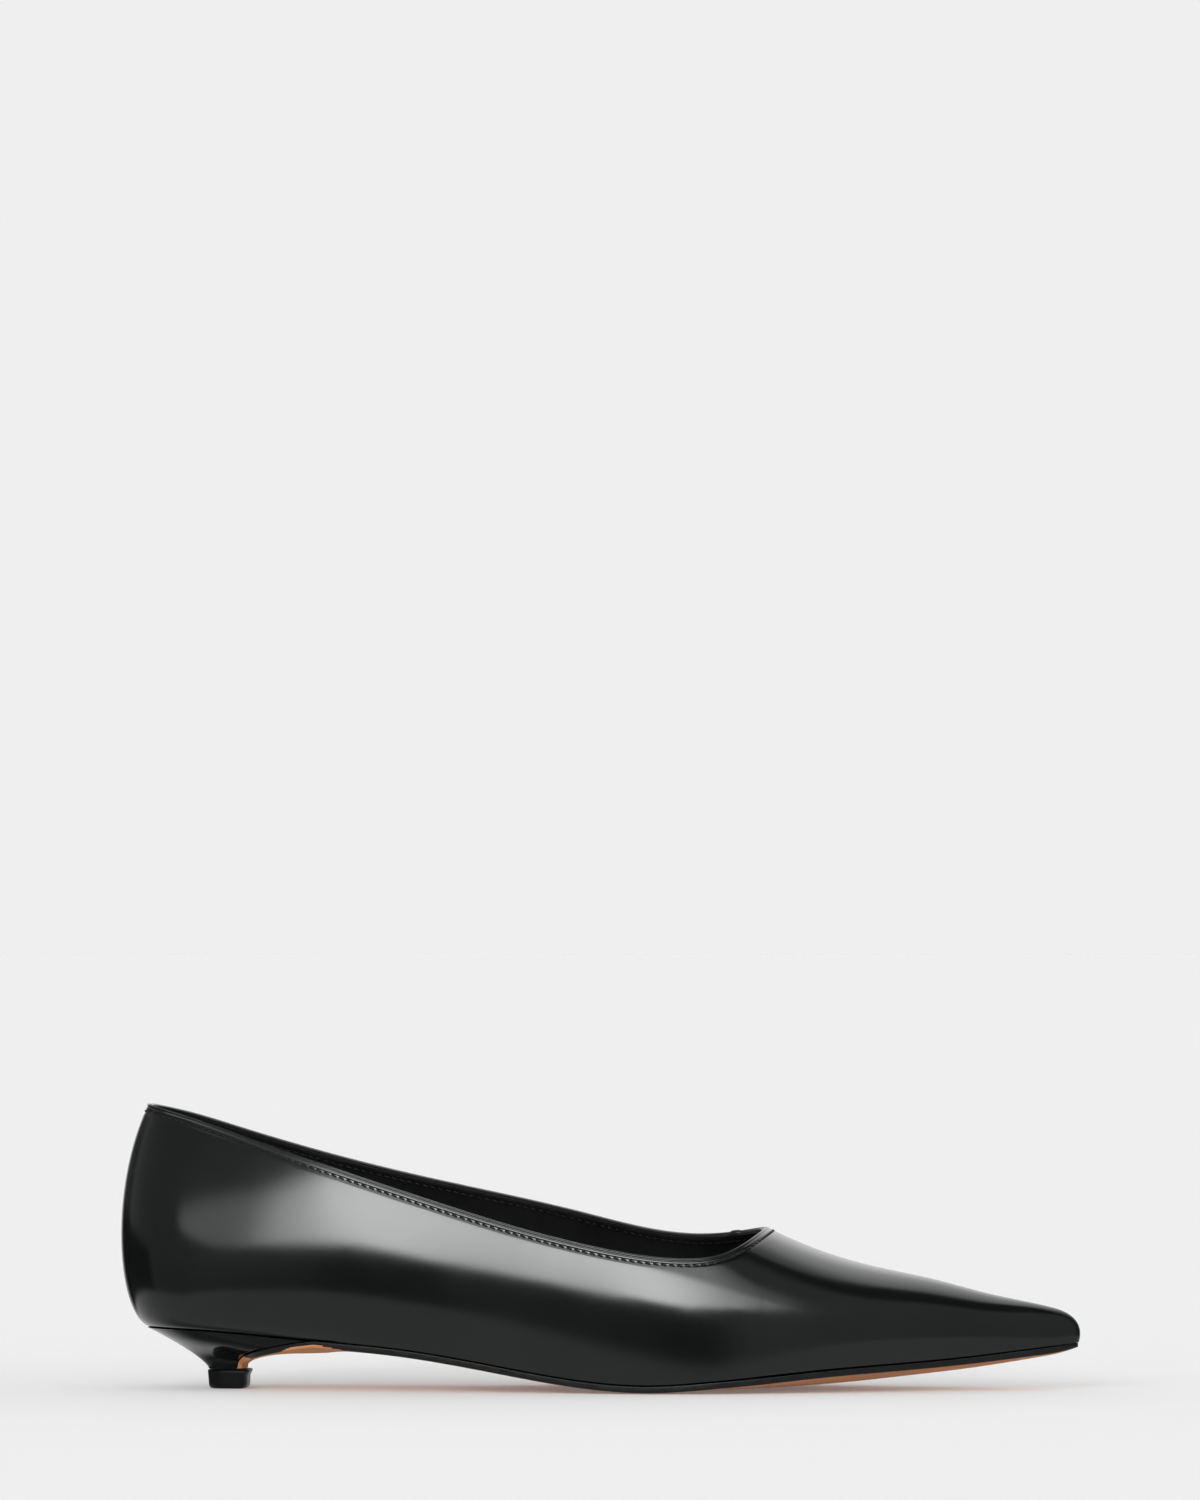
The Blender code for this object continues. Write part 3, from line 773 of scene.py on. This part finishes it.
def make_heel():
    levels, around, across = 40, 96, 24
    rings = []
    for k in range(levels + 1):
        level = (k / levels) ** 1.15
        ring = [heel_wall(i / around, level) for i in range(around + 1)]
        front = [breast_point(level, 1 - 2 * j / across, 0.0) for j in range(1, across)]
        if k == levels:
            for p in front:
                p[2] = STEM_Z
        rings.append(np.array(ring + front))
    # The cover turns in under the upper, so that the joint reads as a seam.
    centre = rings[0].mean(0)
    top = rings[0].copy()
    inward = unit((centre - top) * np.array([1, 1, 0]))
    rings[0] = top + inward * 0.18 - [0, 0, 0.16]
    lid = top + inward * 0.5 - [0, 0, 0.02]
    points, faces, _ = loft([lid] + rings)
    rim = [1 if k < 2 * len(top) or k == len(faces) - 2 else 0 for k in range(len(faces))]
    finish_piece(new_piece("covered_heel", points, faces, [COVER, LINING], rim, smooth_angle=38), "heel_cover", "heel")


def sole_thickness(x):
    t = min(max((x - SOLE_TIP_THIN_FROM) / (FEATHER_TIP - SOLE_TIP_THIN_FROM), 0.0), 1.0)
    return SOLE_THICKNESS + (SOLE_TIP_THICKNESS - SOLE_THICKNESS) * t * t


# The sole's edge in cross-section: share of the way down, and how far in.
SoleEdge = namedtuple("SoleEdge", "down inset")
SOLE_EDGE = [
    SoleEdge(0.0, 0.10), SoleEdge(0.03, 0.02), SoleEdge(0.08, 0.0), SoleEdge(0.18, 0.0), SoleEdge(0.28, 0.0),
    SoleEdge(0.38, 0.0), SoleEdge(0.48, 0.0), SoleEdge(0.58, 0.01), SoleEdge(0.67, 0.03), SoleEdge(0.75, 0.08),
    SoleEdge(0.83, 0.16), SoleEdge(0.90, 0.28), SoleEdge(0.96, 0.45), SoleEdge(0.99, 0.70),
]
# How far down the edge the black paint reaches; the heel's front face is bare.
Paint = namedtuple("Paint", "x share")
PAINT_LINE = [
    Paint(36.0, 0.0), Paint(37.0, 0.4), Paint(38.5, 0.92), Paint(47.0, 0.92), Paint(50.0, 0.45),
    Paint(58.0, 0.42), Paint(60.0, 0.60), Paint(66.0, 0.90), Paint(72.0, 0.97),
]


def paint_share(x):
    return float(np.interp(x, [p.x for p in PAINT_LINE], [p.share for p in PAINT_LINE]))


def make_outsole():
    stations, flaps, across = 130, 44, 30
    rings = []

    def ring(upper_face, lower_face, lift=0.0):
        """Top from edge to edge, inner edge down, underside back, outer edge up."""
        top_l, top_m, low_l, low_m = upper_face(-1.0), upper_face(1.0), lower_face(-1.0), lower_face(1.0)
        width = np.linalg.norm(top_m - top_l)
        inward = (top_l - top_m) / max(width, 1e-6)
        most = width * 0.3
        edge_m = [top_m + (low_m - top_m) * e.down + inward * min(e.inset, most) for e in SOLE_EDGE]
        edge_l = [top_l + (low_l - top_l) * e.down - inward * min(e.inset, most) for e in SOLE_EDGE]
        share = 1 - 2 * min(1.1, most) / max(width, 1e-6)
        top = [upper_face((2 * j / across - 1) * (1 - 2 * min(0.5, most) / max(width, 1e-6))) for j in range(across + 1)]
        for p in top[1:-1]:
            p[2] += lift
        low = [lower_face((1 - 2 * j / across) * share) for j in range(across + 1)]
        return np.array(top + edge_m + low + edge_l[::-1])

    for i in range(stations + 1):
        t = i / stations
        x = FEATHER_TIP - (FEATHER_TIP - HEEL_FRONT_X - 2.0) * (1 - math.cos(math.pi * t / 2))
        at_x = x - SOLE_TIP_SETBACK * (1 - t) ** 4
        y_l = feather_point(LATERAL, x)[1] - SOLE_OVERHANG
        y_m = feather_point(MEDIAL, x)[1] + SOLE_OVERHANG
        edge, belly = float(feather_z(x)) - FIT_GAP, float(belly_sole(x))

        def face(drop, on_floor):
            def at(a):
                z = edge - belly * (1 - a * a) - drop
                return np.array([at_x, y_l + (y_m - y_l) * (a + 1) / 2, max(z, 0.0) if on_floor else z])

            return at

        rings.append(ring(face(0.0, False), face(sole_thickness(x), True), FIT_GAP - 0.04))
    for k in range(1, flaps + 1):
        level = 0.03 + 0.955 * k / flaps
        thick = SOLE_THICKNESS + (FLAP_END_THICKNESS - SOLE_THICKNESS) * level

        def face(out):
            def at(a):
                p = breast_point(level, a, out)
                p[2] = max(p[2], STEM_Z)
                return p

            return at

        rings.append(ring(face(FIT_GAP), face(FIT_GAP + thick)))
    points, faces, spots = loft(rings)
    n, e = across + 1, len(SOLE_EDGE)
    indices = []
    for k, i in enumerate(spots):
        share = paint_share(points[faces[k][0]][0])
        if i < 0:
            indices.append(1)
        elif n - 1 <= i < n + e:                       # inner edge, top to bottom
            indices.append(0 if SOLE_EDGE[max(min(i - n, e - 1), 0)].down < share else 1)
        elif i >= 2 * n + e - 1:                       # outer edge, bottom to top
            indices.append(0 if SOLE_EDGE[max(min(2 * n + 2 * e - 2 - i, e - 1), 0)].down < share else 1)
        else:
            indices.append(2 if i < n - 1 else 1)
    obj = new_piece("leather_outsole", points, faces, [PAINT, TAN, LINING], indices, smooth_angle=45)
    finish_piece(obj, "sole_leather", "outsole")


def make_top_piece():
    Level = namedtuple("Level", "z grow lip")
    h = TOP_PIECE_HEIGHT
    levels = [
        Level(h, -0.25, 0.55), Level(h - 0.05, 0.0, 0.82), Level(h - 0.18, 0.17, 1.02), Level(h - 0.42, 0.25, 1.1),
        Level(h - 0.9, 0.23, 0.85), Level(h - 1.7, 0.15, 0.45), Level(2.3, 0.04, 0.40), Level(1.1, -0.05, 0.35),
        Level(0.62, -0.13, 0.26), Level(0.32, -0.28, 0.11), Level(0.12, -0.5, -0.1), Level(0.0, -0.8, -0.4),
    ]
    flap = FIT_GAP + FLAP_END_THICKNESS + BREAST_BELLY_AT_STEM
    rings = []
    for row in levels:
        ring = []
        for i in range(81):
            p = stem_outline(i / 80)
            q = np.array([p[0] - STEM_FRONT_X, p[1]])
            d = np.linalg.norm(q)
            q *= (d + row.grow) / d
            ring.append((STEM_FRONT_X + q[0], q[1], row.z))
        half = STEM_HALF_WIDTH + row.grow
        front = STEM_FRONT_X + flap + row.lip
        for j in range(33):
            a = 1 - 2 * j / 32
            ring.append((front - 1.3 * a**6, half * a, row.z))
        rings.append(np.array(ring))
    points, faces, _ = loft(rings)
    finish_piece(new_piece("heel_tip", points, faces, [RUBBER], smooth_angle=42), "top_piece", "heel_top_piece")


def make_insole():
    """The sock: fills the floor of the inside out to the lining."""
    xs = from_along(np.linspace(0.035, 0.965, 110))
    rings = []
    for x in xs:
        z_top = float(feather_z(x)) + INSOLE_THICKNESS
        edges = {}
        for side in (LATERAL, MEDIAL):
            v = np.linspace(0.0, 0.25, 60)
            g = np.full(v.shape, float(round_at(side, x)))
            p = round_points(g, v) - round_normals(g, v) * (UPPER_WALL + 0.12)
            edges[side] = np.array([np.interp(z_top, p[:, 2], p[:, i]) for i in range(3)])
        l, m = edges[LATERAL], edges[MEDIAL]
        if m[1] - l[1] < 1.0:
            continue
        belly = float(belly_insole(x))
        top, low = [], []
        for j in range(25):
            a = 2 * j / 24 - 1
            p = l + (m - l) * (a + 1) / 2
            lift = 0.5 * max(abs(a) - 0.86, 0.0) / 0.14
            top.append((p[0], p[1], z_top - belly * (1 - a * a) + lift * 0.5))
            q = 1 - 0.9 / max((m[1] - l[1]) / 2, 1.0)
            low.append((p[0], (l[1] + m[1]) / 2 + (p[1] - (l[1] + m[1]) / 2) * q, z_top - INSOLE_THICKNESS + 0.05 - belly * (1 - a * a)))
        rings.append(np.array(top + low[::-1]))
    points, faces, _ = loft(rings)
    finish_piece(new_piece("insole_sock", points, faces, [LINING], smooth_angle=50), "lining_leather", "insole")


make_heel()
make_outsole()
make_top_piece()
make_insole()

# ------------------------------------------------------------- floor and studio
FLOOR_WHITE = 0.863
ROOM_LIGHT = 0.52         # light from all round
LOW_LIGHT = 2.0           # added near the horizon
FRONT_SHARE = 0.10        # share of the floor's light from the front
FLOOR_PAINTED_GLOW = 0.135        # painted glow: the floor's own emission, its share of the floor's light, which lightens the shadows on it


def make_floor():
    mesh = bpy.data.meshes.new("floor")
    s = 20.0
    mesh.from_pydata([(-s, -s, 0), (s, -s, 0), (s, s, 0), (-s, s, 0)], [], [(0, 1, 2, 3)])
    made = bpy.data.materials.new("pale_floor")
    made.use_nodes = True
    shader = made.node_tree.nodes["Principled BSDF"]
    shader.inputs["Base Color"].default_value = (FLOOR_WHITE, FLOOR_WHITE, FLOOR_WHITE, 1.0)
    shader.inputs["Roughness"].default_value = 1.0
    shader.inputs["Specular IOR Level"].default_value = 0.0
    # painted glow: the floor gives off light of its own, so the shoe's shadows on it are lighter
    shader.inputs["Emission Color"].default_value = (1.0, 1.0, 1.0, 1.0)
    shader.inputs["Emission Strength"].default_value = FLOOR_WHITE * FLOOR_PAINTED_GLOW
    mesh.materials.append(made)
    floor = bpy.data.objects.new("floor", mesh)
    floor.location.z = -0.00005
    bpy.context.scene.collection.objects.link(floor)
    floor.visible_glossy = False           # the leather sees the studio below, not this plane


make_floor()


def make_studio():
    """An even pale room, and for reflections a studio of panels: directions in
    degrees, azimuth 0 towards -Y and 90 towards +X, elevation above the floor."""
    world = bpy.data.worlds.new("studio")
    bpy.context.scene.world = world
    world.use_nodes = True
    world.cycles.sampling_method = "NONE"
    t = Tree(world.node_tree)
    back = world.node_tree.nodes["Background"]
    axes = t.node("ShaderNodeSeparateXYZ", Vector=t.tree.nodes.new("ShaderNodeTexCoord").outputs["Generated"])
    x, y, z = axes.outputs
    deg = 180 / math.pi
    el = t.math("MULTIPLY", t.math("ARCSINE", z), deg)
    az = t.math("MULTIPLY", t.math("ARCTAN2", x, t.math("MULTIPLY", y, -1.0)), deg)
    turn = t.math("ABSOLUTE", az)

    def window(value, a, b, c, d):
        return t.math("MULTIPLY", t.ramp(value, a, b), t.ramp(value, c, d, 1.0, 0.0))

    def both(*k):
        out = k[0]
        for other in k[1:]:
            out = t.math("MULTIPLY", out, other)
        return out

    def blend(low, high, share):
        """low where share is 0, high where it is 1."""
        inverse = t.math("SUBTRACT", 1.0, share)
        return t.math("ADD", t.math("MULTIPLY", low, inverse), t.math("MULTIPLY", high, share))

    def along_az(low, high, *stops):
        """Value by azimuth, straight between stops of (azimuth, value)."""
        top = max(v for _, v in stops)
        place_ = t.node("ShaderNodeMapRange", Value=az)
        for name, v in (("From Min", low), ("From Max", high)):
            place_.inputs[name].default_value = v
        ramp = t.colours(place_.outputs[0], *(((q - low) / (high - low), (v / top,) * 3) for q, v in stops))
        return t.math("MULTIPLY", ramp, top)

    light = t.ramp(el, -6, 8, 0.28, 0.38)
    # white backdrop behind the shoe, below a dark ceiling
    behind = t.math("MAXIMUM", t.ramp(az, 112, 126), t.ramp(az, -164, -152, 1.0, 0.0))
    backdrop = t.math("ADD", t.ramp(el, -5, 30, 0.75, 1.45), t.ramp(el, 30, 48, 0.0, 0.25))
    light = blend(light, both(backdrop, t.ramp(turn, 128, 160, 0.5, 1.0)), behind)
    # grey side towards the toe, dark in front of the toe
    light = blend(light, 0.53, window(az, 15, 25, 66, 90))
    light = blend(light, 0.10, window(az, 84, 98, 108, 122))
    light = blend(light, 0.04, t.ramp(el, 58, 65))
    # dark room on the camera's side and beside the back of the heel
    light = blend(light, 0.02, both(window(az, -17, -9, 6, 21), t.ramp(el, 6, 16, 1.0, 0.0)))
    light = blend(light, 0.10, both(window(az, -156, -150, -128, -116), t.ramp(el, 10, 24, 1.0, 0.0)))
    light = blend(light, 0.01, both(window(az, -152, -146, -86, -76), t.ramp(el, 0, 3, 1.0, 0.0)))
    # main softbox, its dimmer upper part, and a small second one
    past = t.math("MAXIMUM", t.math("SUBTRACT", az, 10.0), 0.0)
    lower = t.math("ADD", t.ramp(az, -12, -7, 10.4, 12.2), t.math("MULTIPLY", window(az, 0, 12, 18, 26), 2.6))
    rise = t.math("SUBTRACT", el, t.math("ADD", lower, t.math("MULTIPLY", t.math("MULTIPLY", past, past), 0.032)))
    top = t.math("SUBTRACT", el, t.ramp(az, -7, -2, 34.5, 30.5))
    # its far upper corner is cut off
    corner = t.math("ADD", t.math("ADD", az, 38.5), t.math("MULTIPLY", t.math("MAXIMUM", t.math("ADD", az, 7.0), 0.0), 6.0))
    sides = both(t.ramp(az, -17.2, -14.4), t.ramp(t.math("SUBTRACT", el, corner), -4.5, 4.5, 1.0, 0.0))
    main = along_az(-18, 48, (-15, 10.2), (-12.5, 12.2), (-10.5, 15.8), (-8.5, 20.6), (-5, 22.0), (-2, 21.0), (8, 15.6), (21, 9.6), (31, 6.0), (38, 3.0), (44, 1.0), (47, 0.5))
    dim = along_az(-12, 48, (0, 6.2), (20, 5.4), (32, 3.1), (42, 1.3), (47, 0.5))
    light = blend(light, dim, both(t.ramp(rise, -1.5, 1.5), t.ramp(el, 50, 60, 1.0, 0.0), sides, t.ramp(az, 40, 47, 1.0, 0.0)))
    light = blend(light, main, both(t.ramp(rise, -1.5, 1.5), t.ramp(top, -2.5, 2.5, 1.0, 0.0), sides, t.ramp(az, 40, 47, 1.0, 0.0)))
    reach = t.math("ADD", az, 40.0)
    under = t.math("SUBTRACT", el, t.math("SUBTRACT", 12.0, t.math("MULTIPLY", reach, 0.11)))
    over = t.math("SUBTRACT", el, t.math("ADD", 15.5, t.math("MULTIPLY", reach, 0.33)))
    light = blend(light, 2.9, both(t.ramp(under, -1.2, 1.2), t.ramp(over, -3.0, 3.0, 1.0, 0.0), t.ramp(az, -46, -35), t.ramp(az, -16.6, -15.4, 1.0, 0.0)))
    # a high panel behind the heel, seen only in the rounded edges
    light = blend(light, 4.0, both(window(az, -110, -95, -18, -12), window(el, 42, 47, 74, 80)))
    # the pale floor, shaded below and behind the shoe
    floor_edge = t.math("SUBTRACT", el, t.ramp(az, -45, -18, -13.5, -8.5))
    shaded = both(t.ramp(turn, 60, 110), t.ramp(el, -60, -30, 1.0, 0.0))
    floor_light = both(t.ramp(turn, 15, 30, 0.84, 0.90), t.math("SUBTRACT", 1.0, t.math("MULTIPLY", shaded, 0.7)))
    light = blend(light, floor_light, t.ramp(floor_edge, -2.0, 2.0, 1.0, 0.0))

    path = t.tree.nodes.new("ShaderNodeLightPath")
    room = t.math("ADD", ROOM_LIGHT, t.math("MULTIPLY", window(el, 2, 6, 18, 24), LOW_LIGHT))
    seen = blend(room, light, path.outputs["Is Glossy Ray"])
    seen = blend(seen, FLOOR_WHITE, path.outputs["Is Camera Ray"])
    t.put(back.inputs["Strength"], seen)
    back.inputs["Color"].default_value = (1.0, 1.0, 1.0, 1.0)


make_studio()


def make_front_light():
    """The softbox's light for matte faces: low, from the camera's side. Its
    reflection is already part of the studio."""
    azimuth, elevation = math.radians(-20.0), math.radians(23.0)
    data = bpy.data.lights.new("front", "SUN")
    data.angle = math.radians(24.0)
    data.energy = FRONT_SHARE * math.pi / math.sin(elevation)
    front = bpy.data.objects.new("front", data)
    towards = Vector((math.sin(azimuth) * math.cos(elevation), -math.cos(azimuth) * math.cos(elevation), math.sin(elevation)))
    front.rotation_euler = towards.to_track_quat("Z", "Y").to_euler()
    front.location = towards * 2.0
    front.visible_glossy = False
    bpy.context.scene.collection.objects.link(front)


make_front_light()


# ---------------------------------------------------------------------- camera
def make_camera():
    distance, azimuth, elevation = 3.05, math.radians(3.0), math.radians(2.6)
    focal_px, origin_px, frame_px = 11011.0, (599.7, 1388.4), (1200.0, 1500.0)
    data = bpy.data.cameras.new("camera")
    data.sensor_width = 36.0
    data.lens = focal_px / frame_px[1] * data.sensor_width
    data.clip_start, data.clip_end = 0.05, 100.0
    camera = bpy.data.objects.new("camera", data)
    bpy.context.scene.collection.objects.link(camera)
    back = Vector((math.sin(azimuth) * math.cos(elevation), -math.cos(azimuth) * math.cos(elevation), math.sin(elevation)))
    camera.location = back * distance
    # The shoe's origin is low in the picture, so the camera looks above it.
    pitch = -elevation + math.atan((origin_px[1] - frame_px[1] / 2) / focal_px)
    yaw = azimuth + math.atan((origin_px[0] - frame_px[0] / 2) / focal_px)
    camera.rotation_euler = (math.pi / 2 + pitch, 0.0, yaw)
    bpy.context.scene.camera = camera


make_camera()
bpy.context.scene.view_settings.view_transform = "Standard"
bpy.context.scene.view_settings.look = "None"
